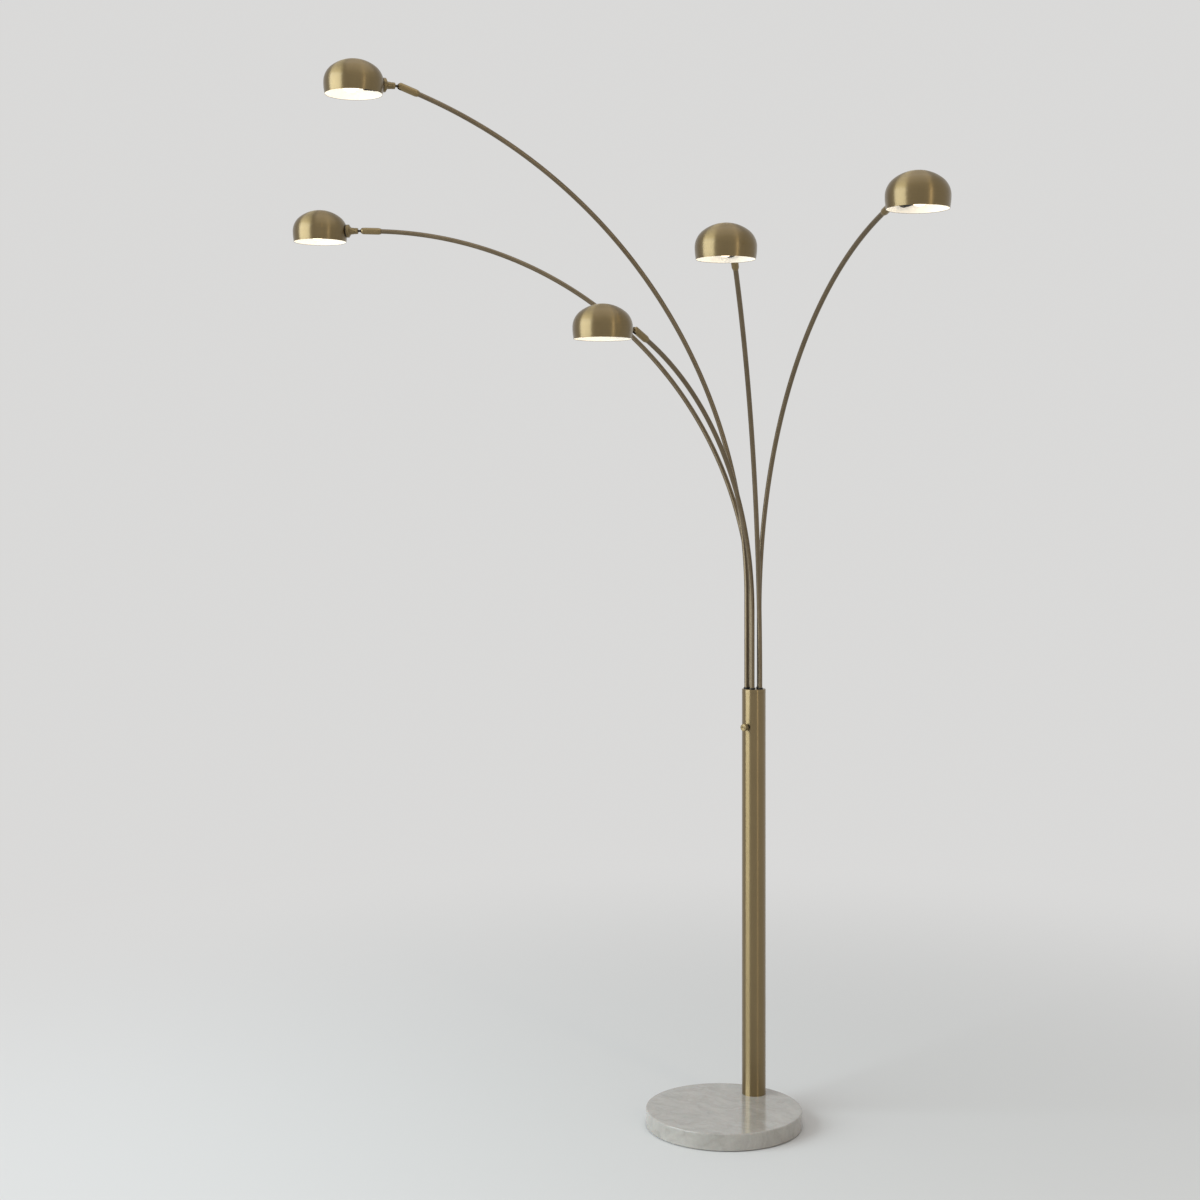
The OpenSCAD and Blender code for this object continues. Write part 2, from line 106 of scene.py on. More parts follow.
def grid_piece(name, grid, around_m, along_m, closed_along=False):
    """A piece from a grid of points, rows along and columns around.

    Point (i, j) is grid[i, j]. Columns always close on themselves, rows close only if asked. The UV
    map holds real distances: u runs round the piece from 0 to around_m, v is along_m at each row.
    """
    rows, cols = grid.shape[:2]
    i = np.arange(rows if closed_along else rows - 1)
    j = np.arange(cols)
    low, left = np.meshgrid(i, j, indexing="ij")
    high, right = (low + 1) % rows, (left + 1) % cols
    quads = np.stack([low * cols + left, low * cols + right, high * cols + right, high * cols + left], -1)
    mesh = bpy.data.meshes.new(name)
    mesh.from_pydata(grid.reshape(-1, 3).tolist(), [], quads.reshape(-1, 4).tolist())
    along = np.append(along_m, along_m[-1] + (along_m[-1] - along_m[-2]))
    u = np.stack([left, left + 1, left + 1, left], -1) * (around_m / cols)
    v = along[np.stack([low, low, low + 1, low + 1], -1)]
    layer = mesh.uv_layers.new(name="surface")
    layer.data.foreach_set("uv", np.stack([u, v], -1).astype(np.float32).ravel())
    tidy = bmesh.new()
    tidy.from_mesh(mesh)
    bmesh.ops.remove_doubles(tidy, verts=tidy.verts, dist=WELD_M)
    bmesh.ops.dissolve_degenerate(tidy, dist=1e-8, edges=tidy.edges)
    bmesh.ops.recalc_face_normals(tidy, faces=tidy.faces)
    tidy.to_mesh(mesh)
    tidy.free()
    mesh.polygons.foreach_set("use_smooth", np.ones(len(mesh.polygons), bool))
    mesh.set_sharp_from_angle(angle=SMOOTH_ANGLE)
    piece = bpy.data.objects.new(name, mesh)
    bpy.context.scene.collection.objects.link(piece)
    return piece


def rounded(points, radii, steps=4):
    """A polyline whose inner corners are replaced by arcs.

    Each corner P with radius r gets the arc that touches both of its edges: it starts and ends
    r / tan(half the corner's angle) from P, and its centre lies on the bisector.
    """
    pts = np.asarray(points, float)
    out = [pts[0]]
    for p0, p, p1, r in zip(pts[:-2], pts[1:-1], pts[2:], radii):
        if r <= 0:
            out.append(p)
            continue
        a, b = p0 - p, p1 - p
        a, b = a / np.linalg.norm(a), b / np.linalg.norm(b)
        half = math.acos(np.clip(a @ b, -1, 1)) / 2
        back = r / math.tan(half)
        middle = (a + b) / np.linalg.norm(a + b)
        centre = p + middle * (r / math.sin(half))
        start, end = p + a * back - centre, p + b * back - centre
        sweep = math.acos(np.clip(start @ end / (r * r), -1, 1))
        t = np.linspace(0, 1, steps + 1)[:, None]
        out.extend(centre + (np.sin((1 - t) * sweep) * start + np.sin(t * sweep) * end) / math.sin(sweep))
    out.append(pts[-1])
    return np.array(out)


def turned(name, profile, origin, axis, cols=64, wave=None, seat=None):
    """A turned piece: the profile's (distance along the axis, radius) pairs carried round the axis.

    The point at angle a is origin + s * axis + r * (1 + wave(a, s)) * (cos a * e1 + sin a * e2), with
    e1 level where it can be. seat(s, radius, across, up) may move s point by point. All in metres.
    """
    axis = np.array(axis, float) / np.linalg.norm(axis)
    aid = np.array([0.0, 0.0, 1.0]) if abs(axis[2]) < 0.9 else np.array([1.0, 0.0, 0.0])
    e1 = np.cross(aid, axis)
    e1 /= np.linalg.norm(e1)
    e2 = np.cross(axis, e1)
    a = np.arange(cols) * (2 * math.pi / cols)
    s, r = profile[:, 0], profile[:, 1]
    radius = np.repeat(r[:, None], cols, 1)
    if wave is not None:
        radius = radius * (1 + wave(a[None, :], s[:, None]))
    ring = np.cos(a)[:, None] * e1 + np.sin(a)[:, None] * e2
    along_axis = np.repeat(s[:, None], cols, 1)
    if seat is not None:
        along_axis = seat(along_axis, radius, radius * np.cos(a), radius * np.sin(a))
    grid = np.asarray(origin, float) + along_axis[..., None] * axis + radius[..., None] * ring[None]
    step = np.hypot(np.diff(s), np.diff(r))
    along = np.concatenate([[0.0], np.cumsum(step)])
    return grid_piece(name, grid, 2 * math.pi * float(r.max()), along)


def skirt_radius():
    """Radius of the shallow arc that draws the rim in by RIM_DRAW over the skirt's height."""
    return (SKIRT_H ** 2 + RIM_DRAW ** 2) / (2 * RIM_DRAW)


def dome_line(inset, n, low_z):
    """The shade's line from crown to low_z as (height, radius) in millimetres, grown inwards by inset.

    Crown: an arc about the shade's axis that meets the shoulder's arc with one tangent. Shoulder:
    radius SHOULDER_R about (SHADE_R - SHOULDER_R, 0). Skirt: a shallow arc drawn in by RIM_DRAW.
    """
    sx = SHADE_R - SHOULDER_R
    crown_r = (sx ** 2 + CROWN_H ** 2 - SHOULDER_R ** 2) / (2 * (CROWN_H - SHOULDER_R))
    crown_y = CROWN_H - crown_r
    join = math.atan2(-crown_y, sx)
    skirt_r = skirt_radius()
    t = np.linspace(math.pi / 2, join, n)
    crown = np.stack([crown_y + (crown_r - inset) * np.sin(t), (crown_r - inset) * np.cos(t)], -1)
    t = np.linspace(join, 0, n)[1:]
    shoulder = np.stack([(SHOULDER_R - inset) * np.sin(t), sx + (SHOULDER_R - inset) * np.cos(t)], -1)
    z = np.linspace(0, low_z, max(n // 2, 4))[1:]
    skirt = np.stack([z, SHADE_R - skirt_r + np.sqrt((skirt_r - inset) ** 2 - z ** 2)], -1)
    line = np.concatenate([crown, shoulder, skirt])
    line[0, 1] = 0.0
    return line


def arm_path(k):
    """Points along one arm's centre line, with the direction at each.

    Straight up the stem; then an arc of the arm's radius R, where angle t from 0 to the bend angle
    gives a reach of R (1 - cos t) and a rise of R sin t; then straight into the sleeve.
    """
    rise, radius, sweep = ARM_BENDS[k]
    rise, radius, sweep = rise * MM, radius * MM, math.radians(sweep)
    t = np.linspace(0, sweep, 120)
    reach = radius * (1 - np.cos(t))
    height = rise + radius * np.sin(t)
    tangent = np.stack([np.sin(t), np.cos(t)], -1)
    stem = np.linspace(STEM_FOOT, rise, 8)[:-1]
    reach = np.concatenate([np.zeros(len(stem)), reach, [reach[-1] + SLEEVE_SOCKET * math.sin(sweep)]])
    height = np.concatenate([stem, height, [height[-1] + SLEEVE_SOCKET * math.cos(sweep)]])
    tangent = np.concatenate([np.tile([0.0, 1.0], (len(stem), 1)), tangent, tangent[-1:]])
    return reach, height, tangent


def arm_skin(k, cols=28):
    """The arm's tube: a closed wall swept along arm_path.

    Ring point at angle a: centre + r (cos a * side + sin a * up), where side is level and square to
    the arm's plane and up is square to the path within it. The wall runs out along the outside and
    back along the bore, so that the tube's open ends show their thickness.
    """
    stem = np.array(joints[f"arm_{k}_swivel"]["pos_m"][:2])
    bearing = np.array(joints[f"head_{k}_turn"]["axis"])
    bearing[2] = 0.0
    side = np.cross([0.0, 0.0, 1.0], bearing)
    reach, height, tangent = arm_path(k)
    centre = np.array([stem[0], stem[1], 0.0]) + reach[:, None] * bearing
    centre[:, 2] = height
    up = tangent[:, 1:2] * -bearing + tangent[:, :1] * np.array([0.0, 0.0, 1.0])
    a = np.arange(cols) * (2 * math.pi / cols)
    ring = np.cos(a)[None, :, None] * side + np.sin(a)[None, :, None] * up[:, None, :]
    outside = centre[:, None, :] + TUBE_R * ring
    bore = (centre[:, None, :] + (TUBE_R - TUBE_WALL) * ring)[::-1]
    grid = np.concatenate([outside, bore])
    step = np.linalg.norm(np.diff(grid[:, 0], axis=0), axis=1)
    along = np.concatenate([[0.0], np.cumsum(step)])
    return grid_piece(f"arm_tube_{k}_skin", grid, 2 * math.pi * TUBE_R, along, closed_along=True)


def cut_away(piece, cutters):
    """Cuts closed tool shapes out of a piece and keeps the result as its mesh."""
    for tool in cutters:
        step = piece.modifiers.new("cut", "BOOLEAN")
        step.operation = "DIFFERENCE"
        step.solver = "EXACT"
        step.object = tool
    bpy.context.view_layer.update()
    graph = bpy.context.evaluated_depsgraph_get()
    made = bpy.data.meshes.new_from_object(
        piece.evaluated_get(graph), preserve_all_data_layers=True, depsgraph=graph)
    piece.modifiers.clear()
    old = piece.data
    piece.data = made
    bpy.data.meshes.remove(old)
    made.polygons.foreach_set("use_smooth", np.ones(len(made.polygons), bool))
    made.set_sharp_from_angle(angle=SMOOTH_ANGLE)
    for tool in cutters:
        bpy.data.objects.remove(tool)


def head_place(k):
    """The ball's centre, the level direction away from the pole, and the shade's own axis point."""
    turn = joints[f"head_{k}_turn"]
    pin = np.array(turn["pos_m"])
    out = np.array(turn["axis"])
    return pin, out, pin + out * SHADE_REACH * MM


# ---------------------------------------------------------------- materials

def node(tree, kind, **values):
    """Adds a node; keys name its properties, or its inputs when written in_Name."""
    made = tree.nodes.new(kind)
    for key, value in values.items():
        if key.startswith("in_"):
            made.inputs[key[3:].replace("_", " ")].default_value = value
        else:
            setattr(made, key, value)
    return made


def make_group(name, inputs, outputs):
    """An empty node group with named sockets; returns the group and its two end nodes."""
    group = bpy.data.node_groups.new(name, "ShaderNodeTree")
    for title, kind, value in inputs:
        socket = group.interface.new_socket(title, in_out="INPUT", socket_type=kind)
        if value is not None:
            socket.default_value = value
    for title, kind in outputs:
        group.interface.new_socket(title, in_out="OUTPUT", socket_type=kind)
    return group, group.nodes.new("NodeGroupInput"), group.nodes.new("NodeGroupOutput")


def tone(tree, factor, low, high):
    """Mixes two colours by a mask."""
    mix = node(tree, "ShaderNodeMix", data_type="RGBA")
    mix.inputs[6].default_value = (*low, 1.0)
    mix.inputs[7].default_value = (*high, 1.0)
    tree.links.new(factor, mix.inputs[0])
    return mix.outputs[2]


def spread(tree, value, low, high, first=0.0, last=1.0):
    """Carries a value from one range to another."""
    made = node(tree, "ShaderNodeMapRange")
    for title, number in (("From Min", first), ("From Max", last), ("To Min", low), ("To Max", high)):
        made.inputs[title].default_value = number
    tree.links.new(value, made.inputs["Value"])
    return made.outputs["Result"]


def bumped(tree, shader, height, distance, strength=0.4):
    """Feeds a height through a Bump node to the shader's normal."""
    bump = node(tree, "ShaderNodeBump", in_Strength=strength, in_Distance=distance)
    tree.links.new(height, bump.inputs["Height"])
    tree.links.new(bump.outputs["Normal"], shader.inputs["Normal"])


def turned_grain_group():
    """Fine rings left by a brushing belt, broken up along their length, and a soft slow tint."""
    group, start, end = make_group(
        "turned_grain",
        [("Vector", "NodeSocketVector", None), ("Stretch", "NodeSocketVector", (30.0, 900.0, 1.0))],
        [("Rings", "NodeSocketFloat"), ("Tint", "NodeSocketFloat"), ("Height", "NodeSocketFloat")])
    link = group.links.new
    scaled = node(group, "ShaderNodeVectorMath", operation="MULTIPLY")
    link(start.outputs["Vector"], scaled.inputs[0])
    link(start.outputs["Stretch"], scaled.inputs[1])
    coarse = node(group, "ShaderNodeTexNoise", in_Scale=0.35, in_Detail=2.0, in_Roughness=0.6)
    fine = node(group, "ShaderNodeTexNoise", in_Scale=1.4, in_Detail=3.0, in_Roughness=0.65)
    tint = node(group, "ShaderNodeTexNoise", in_Scale=16.0, in_Detail=2.0, in_Roughness=0.5)
    link(scaled.outputs[0], coarse.inputs["Vector"])
    link(scaled.outputs[0], fine.inputs["Vector"])
    link(start.outputs["Vector"], tint.inputs["Vector"])
    both = node(group, "ShaderNodeMix", data_type="FLOAT")
    both.inputs[0].default_value = 0.55
    link(coarse.outputs["Fac"], both.inputs[2])
    link(fine.outputs["Fac"], both.inputs[3])
    link(spread(group, both.outputs[0], 0.0, 1.0, 0.3, 0.7), end.inputs["Rings"])
    link(spread(group, tint.outputs["Fac"], 0.0, 1.0, 0.35, 0.65), end.inputs["Tint"])
    link(fine.outputs["Fac"], end.inputs["Height"])
    return group


def speckle_group():
    """Fine moulded or cast speckle with a soft cloud under it."""
    group, start, end = make_group(
        "speckle",
        [("Vector", "NodeSocketVector", None), ("Size", "NodeSocketFloat", 900.0)],
        [("Speckle", "NodeSocketFloat"), ("Cloud", "NodeSocketFloat")])
    link = group.links.new
    grain = node(group, "ShaderNodeTexNoise", in_Detail=4.0, in_Roughness=0.7)
    cloud = node(group, "ShaderNodeTexNoise", in_Scale=28.0, in_Detail=2.0)
    link(start.outputs["Vector"], grain.inputs["Vector"])
    link(start.outputs["Size"], grain.inputs["Scale"])
    link(start.outputs["Vector"], cloud.inputs["Vector"])
    link(grain.outputs["Fac"], end.inputs["Speckle"])
    link(cloud.outputs["Fac"], end.inputs["Cloud"])
    return group


GRAIN = turned_grain_group()
SPECKLE = speckle_group()


def new_material(name, **sockets):
    """A material with one Principled shader; keys in **sockets are set on the shader's own inputs."""
    material = bpy.data.materials.new(name)
    material.use_nodes = True
    tree = material.node_tree
    shader = tree.nodes["Principled BSDF"]
    for key, value in sockets.items():
        shader.inputs[key.replace("_", " ")].default_value = value
    return material, tree, shader


def satin_brass(name, low, high, stretch, rough, use_uv=True, centre=(0, 0, 0), tangent=None,
                lacquer=0.3):
    """Brushed and lacquered brass; rings of grain across the stretch, glints drawn out along it."""
    material, tree, shader = new_material(
        name, Metallic=1.0, Anisotropic=0.95 if tangent else 0.0, Coat_Weight=lacquer, Coat_Roughness=0.22)
    place = node(tree, "ShaderNodeTexCoord")
    grain = node(tree, "ShaderNodeGroup", node_tree=GRAIN)
    grain.inputs["Stretch"].default_value = stretch
    if use_uv:
        tree.links.new(place.outputs["UV"], grain.inputs["Vector"])
    else:
        moved = node(tree, "ShaderNodeMapping")
        moved.inputs["Location"].default_value = centre
        tree.links.new(place.outputs["Object"], moved.inputs["Vector"])
        tree.links.new(moved.outputs["Vector"], grain.inputs["Vector"])
    blend = node(tree, "ShaderNodeMix", data_type="FLOAT")
    blend.inputs[0].default_value = 0.4
    tree.links.new(grain.outputs["Rings"], blend.inputs[2])
    tree.links.new(grain.outputs["Tint"], blend.inputs[3])
    tree.links.new(tone(tree, blend.outputs[0], low, high), shader.inputs["Base Color"])
    tree.links.new(spread(tree, grain.outputs["Rings"], *rough), shader.inputs["Roughness"])
    bumped(tree, shader, grain.outputs["Height"], 0.00002, 0.15)
    if tangent == "uv":
        made = node(tree, "ShaderNodeTangent", direction_type="UV_MAP", uv_map="surface")
        tree.links.new(made.outputs["Tangent"], shader.inputs["Tangent"])
        shader.inputs["Anisotropic Rotation"].default_value = 0.25
    elif tangent == "upright":
        made = node(tree, "ShaderNodeVectorTransform", vector_type="VECTOR",
                    convert_from="OBJECT", convert_to="WORLD")
        made.inputs["Vector"].default_value = (0.0, 0.0, 1.0)
        tree.links.new(made.outputs["Vector"], shader.inputs["Tangent"])
    return material


def marble():
    """Polished white stone: broad grey clouds, a few soft bent veins and fine crystal speckle."""
    material, tree, shader = new_material(
        "white_marble", Roughness=0.16, IOR=1.5, Coat_Weight=0.35, Coat_Roughness=0.05,
        Subsurface_Weight=0.06, Subsurface_Scale=0.01)
    link = tree.links.new
    place = node(tree, "ShaderNodeTexCoord")
    turn = node(tree, "ShaderNodeMapping")
    turn.inputs["Rotation"].default_value = (0.5, 0.3, 0.6)
    link(place.outputs["Object"], turn.inputs["Vector"])
    bend = node(tree, "ShaderNodeTexNoise", in_Scale=7.0, in_Detail=4.0, in_Roughness=0.6)
    link(turn.outputs["Vector"], bend.inputs["Vector"])
    push = node(tree, "ShaderNodeVectorMath", operation="SCALE")
    push.inputs["Scale"].default_value = 0.16
    link(bend.outputs["Color"], push.inputs[0])
    warped = node(tree, "ShaderNodeVectorMath", operation="ADD")
    link(turn.outputs["Vector"], warped.inputs[0])
    link(push.outputs[0], warped.inputs[1])
    squash = node(tree, "ShaderNodeVectorMath", operation="MULTIPLY")
    squash.inputs[1].default_value = (16.0, 42.0, 30.0)
    link(warped.outputs[0], squash.inputs[0])
    cloud = node(tree, "ShaderNodeTexNoise", in_Scale=1.0, in_Detail=5.0, in_Roughness=0.62)
    link(squash.outputs[0], cloud.inputs["Vector"])
    vein = node(tree, "ShaderNodeTexNoise", in_Scale=0.55, in_Detail=3.0, in_Roughness=0.5)
    link(squash.outputs[0], vein.inputs["Vector"])
    centred = node(tree, "ShaderNodeMath", operation="SUBTRACT")
    centred.inputs[1].default_value = 0.5
    link(vein.outputs["Fac"], centred.inputs[0])
    folded = node(tree, "ShaderNodeMath", operation="ABSOLUTE")
    link(centred.outputs[0], folded.inputs[0])
    thin = spread(tree, folded.outputs[0], 1.0, 0.0, 0.0, 0.045)
    crystal = node(tree, "ShaderNodeTexVoronoi", in_Scale=420.0)
    link(place.outputs["Object"], crystal.inputs["Vector"])
    ground = tone(tree, spread(tree, cloud.outputs["Fac"], 0.0, 1.0, 0.32, 0.68),
                  (0.350, 0.329, 0.297), (0.446, 0.421, 0.383))
    veined = node(tree, "ShaderNodeMix", data_type="RGBA", blend_type="MULTIPLY")
    veined.inputs[7].default_value = (0.88, 0.88, 0.87, 1.0)
    link(spread(tree, thin, 0.0, 0.75), veined.inputs[0])
    link(ground, veined.inputs[6])
    flecked = node(tree, "ShaderNodeMix", data_type="RGBA", blend_type="MULTIPLY")
    flecked.inputs[7].default_value = (0.93, 0.93, 0.93, 1.0)
    link(spread(tree, crystal.outputs["Distance"], 0.0, 0.7, 0.2, 0.9), flecked.inputs[0])
    link(veined.outputs[2], flecked.inputs[6])
    link(flecked.outputs[2], shader.inputs["Base Color"])
    link(spread(tree, cloud.outputs["Fac"], 0.11, 0.22), shader.inputs["Roughness"])
    return material


def speckle(tree, size):
    """The speckle group on the object's own coordinates."""
    place = node(tree, "ShaderNodeTexCoord")
    grain = node(tree, "ShaderNodeGroup", node_tree=SPECKLE)
    grain.inputs["Size"].default_value = size
    tree.links.new(place.outputs["Object"], grain.inputs["Vector"])
    return grain


def plain_speckled(name, low, high, rough, size, bump, **sockets):
    """A moulded, painted or rubber finish: two close tones, uneven gloss and a fine raised speckle."""
    material, tree, shader = new_material(name, **sockets)
    grain = speckle(tree, size)
    tree.links.new(tone(tree, grain.outputs["Cloud"], low, high), shader.inputs["Base Color"])
    tree.links.new(spread(tree, grain.outputs["Speckle"], *rough, 0.3, 0.7), shader.inputs["Roughness"])
    bumped(tree, shader, grain.outputs["Speckle"], bump)
    return material


def lit_opal():
    """Opal glass lit from inside: warm white, a little deeper towards its outline."""
    material, tree, shader = new_material("lit_opal_glass", Roughness=0.22, IOR=1.5, Emission_Strength=2.7)
    facing = node(tree, "ShaderNodeLayerWeight")
    facing.inputs["Blend"].default_value = 0.35
    glow = tone(tree, facing.outputs["Facing"], (1.0, 0.84, 0.60), (1.0, 0.70, 0.40))
    tree.links.new(glow, shader.inputs["Emission Color"])
    milk = tone(tree, speckle(tree, 900.0).outputs["Cloud"], (0.90, 0.86, 0.78), (0.96, 0.92, 0.85))
    tree.links.new(milk, shader.inputs["Base Color"])
    return material


BRASS_LOW, BRASS_HIGH = (0.205, 0.150, 0.070), (0.248, 0.182, 0.086)
POLE_LOW, POLE_HIGH = (0.218, 0.160, 0.077), (0.240, 0.176, 0.085)
ARM_LOW, ARM_HIGH = (0.138, 0.106, 0.066), (0.190, 0.147, 0.093)
POLE_AXIS = (0.0692, 0.0918)
brass_turned = satin_brass(
    "satin_brass_turned", BRASS_LOW, BRASS_HIGH, (14.0, 900.0, 1.0), (0.36, 0.46), tangent="uv")
brass_pole = satin_brass(
    "satin_brass_pole", POLE_LOW, POLE_HIGH, (60.0, 60.0, 1400.0), (0.30, 0.37), use_uv=False,
    centre=(-POLE_AXIS[0], -POLE_AXIS[1], 0.0), tangent="upright", lacquer=0.45)
brass_small = satin_brass(
    "satin_brass_fittings", BRASS_LOW, BRASS_HIGH, (500.0, 500.0, 500.0), (0.26, 0.36), use_uv=False)
brass_arm = satin_brass(
    "satin_brass_arms", ARM_LOW, ARM_HIGH, (160.0, 60.0, 1.0), (0.30, 0.42), lacquer=0.15)
# White enamel lining with a painted glow: its weak warm emission stands in for the bulb's light falling on
# the inside of the shade.
enamel_painted_glow = plain_speckled(
    "white_enamel", (0.80, 0.79, 0.75), (0.86, 0.85, 0.82), (0.38, 0.50), 700.0, 0.00003,
    Emission_Color=(1.0, 0.91, 0.76, 1.0), Emission_Strength=0.24)
black_moulded = plain_speckled(
    "black_moulding", (0.014, 0.013, 0.012), (0.024, 0.022, 0.021), (0.40, 0.54), 900.0, 0.00003,
    Specular_IOR_Level=0.2)
black_rubber = plain_speckled(
    "black_rubber", (0.016, 0.016, 0.016), (0.028, 0.027, 0.026), (0.62, 0.78), 1200.0, 0.00005)
dark_steel = plain_speckled(
    "blackened_steel", (0.035, 0.030, 0.025), (0.065, 0.055, 0.045), (0.34, 0.48), 900.0, 0.00002,
    Metallic=0.9)
zinc_steel = plain_speckled(
    "zinc_plated_steel", (0.46, 0.47, 0.48), (0.60, 0.61, 0.62), (0.28, 0.42), 500.0, 0.00002,
    Metallic=1.0)
nylon = plain_speckled(
    "natural_nylon", (0.62, 0.58, 0.46), (0.72, 0.68, 0.56), (0.40, 0.52), 600.0, 0.00002)
felt = plain_speckled(
    "dense_felt", (0.030, 0.029, 0.027), (0.060, 0.057, 0.053), (0.85, 0.97), 1500.0, 0.0003,
    Sheen_Weight=0.3, Sheen_Roughness=0.6)
thread_metal = plain_speckled(
    "bulb_cap_metal", (0.55, 0.53, 0.48), (0.66, 0.64, 0.58), (0.22, 0.34), 600.0, 0.00002,
    Metallic=1.0)
opal = lit_opal()
stone = marble()


def dress(node_name, material):
    """Gives a carried-over node its finish."""
    slots = frame["nodes"][node_name].data.materials
    slots.clear()
    slots.append(material)


def finish_piece(piece, material, body, slot, *nodes):
    """Gives a new piece its finish, the body it moves with and the nodes it stands for."""
    piece.data.materials.clear()
    piece.data.materials.append(material)
    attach(piece, body)
    if nodes:
        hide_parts(*nodes)
    return piece


FINISHES = {
    "felt_pad": felt, "marble_base": stone, "clamp_washer": zinc_steel, "clamp_bolt": zinc_steel,
    "pole_foot": zinc_steel, "stem_carrier": zinc_steel, "tie_rod": zinc_steel, "stem_washers": nylon,
    "stem_bushes": black_moulded, "pole_tube": brass_pole, "pole_cap": brass_pole,
    "cord_grommet": black_rubber, "dimmer_body": black_moulded, "dimmer_nut": dark_steel,
}
HEAD_FINISHES = {
    "stem_collar": zinc_steel, "arm_sleeve": brass_small, "joint_ball": dark_steel,
    "seat_washer": black_rubber,
}
for part, finish in FINISHES.items():
    dress(part, finish)
for k in HEADS:
    for part, finish in HEAD_FINISHES.items():
        dress(f"{part}_{k}", finish)


# ---------------------------------------------------------------- pieces

def shade_shell(k):
    """The spun brass skin: out along the dome's line, round a rolled lip, back on the inside."""
    _, _, centre = head_place(k)
    outer = dome_line(0.0, 34, -SKIRT_H + LIP_H)
    inner = dome_line(SKIN_T, 26, -SKIRT_H + LIP_H)[::-1]
    lip_r = (outer[-1, 1] - inner[0, 1]) / 2
    a = np.linspace(0, math.pi, 7)[1:-1]
    lip = np.stack([outer[-1, 0] - LIP_H * np.sin(a), inner[0, 1] + lip_r + lip_r * np.cos(a)], -1)
    profile = np.concatenate([outer, lip, inner]) * MM
    return turned(f"shade_{k}_skin", profile, centre, (0, 0, 1), cols=128)


def shade_lining(k):
    """The white enamelled inside: a thin coat that follows the skin and stops just above the lip."""
    _, _, centre = head_place(k)
    outer = dome_line(LINING_START, 24, -SKIRT_H + LINING_STOP_OUT)
    inner = dome_line(WALL, 24, -SKIRT_H + LINING_STOP_IN)[::-1]
    profile = np.concatenate([outer, inner]) * MM
    return turned(f"shade_{k}_lining", profile, centre, (0, 0, 1), cols=112)


def rod_line(start, end, radius):
    """Profile of a plain rod with closed ends, in metres."""
    return np.array([[start, 0.0], [start, radius], [end, radius], [end, 0.0]])


def hole_tools(k):
    """Cutters for one shade: two vent holes beyond the crown and the hole for the neck's spigot."""
    pin, out, centre = head_place(k)
    across = np.cross([0.0, 0.0, 1.0], out)
    tools = []
    for side in (-0.5, 0.5):
        at = centre + out * VENT_R * MM + across * side * VENT_PITCH * MM
        tools.append(turned("vent_tool", rod_line(0.02, 0.06, VENT_D / 2 * MM), at, (0, 0, 1), cols=24))
    bore = rod_line(0.030, 0.048, (SPIGOT_D / 2 + SPIGOT_PLAY) * MM)
    tools.append(turned("spigot_tool", bore, pin, out, cols=40))
    return tools


def on_the_dome(s, radius, across, up):
    """Coped flange: rows written at SEAT_MARK are carried onto the dome's wall, SEAT_GAP outside it.

    At height up the wall, grown by the gap g, has the radius rho = c + sqrt((R + g)^2 - up^2) about the
    shade's axis, with the shoulder's c and R above the widest line and the skirt's below. The seat is
    then at SHADE_REACH - sqrt(rho^2 - across^2) from the ball.
    """
    across, up = across / MM, up / MM
    curve = np.where(up >= 0, SHOULDER_R, skirt_radius())
    rho = SHADE_R - curve + np.sqrt((curve + SEAT_GAP) ** 2 - up ** 2)
    wall = (SHADE_REACH - np.sqrt(rho ** 2 - across ** 2)) * MM
    outside_spigot = radius > SPIGOT_D / 2 * MM - 1e-6
    written = (s > SEAT_FIRST * MM) & (s < SEAT_LAST * MM) & outside_spigot
    return np.where(written, s - SEAT_MARK * MM + wall, s)


def head_neck(k):
    """Turned neck: small nose, slow cone, a fine step, a swept cone out to the flange, and the spigot."""
    pin, out, _ = head_place(k)
    points = [(11.7, 2.55), (11.7, 6.3), (18.0, 6.75), (18.6, 6.35), (19.4, 6.35), (20.0, 6.85),
              (27.0, 7.5), (31.0, FLANGE_R), (SEAT_MARK, FLANGE_R), (SEAT_MARK, 11.5), (SEAT_MARK, 9.0),
              (SEAT_MARK, SPIGOT_D / 2), (46.0, SPIGOT_D / 2), (46.0, 4.3), (19.7, 4.3), (19.7, 2.55),
              (11.7, 2.55)]
    radii = [0.8, 0.3, 0.2, 0.2, 0.3, 3.5, 0.6, 0.4, 0.0, 0.0, 0.0, 0.3, 0.0, 0.0, 0.0]
    line = rounded(points, radii) * MM
    return turned(f"shade_neck_{k}_turned", line, pin, out, cols=64, seat=on_the_dome)


def faded(s, first, last, ease):
    """1 along a piece from first to last, easing down to 0 at both ends over a short way."""
    return np.clip((s - first) / ease, 0, 1) * np.clip((last - s) / ease, 0, 1)


def with_rows(line, rows, least_r):
    """Puts rows into a profile where it first passes their start at a radius over least_r."""
    at = int(np.argmax((line[:, 0] > rows[0, 0]) & (line[:, 1] > least_r)))
    return np.concatenate([line[:at], rows, line[at:]])


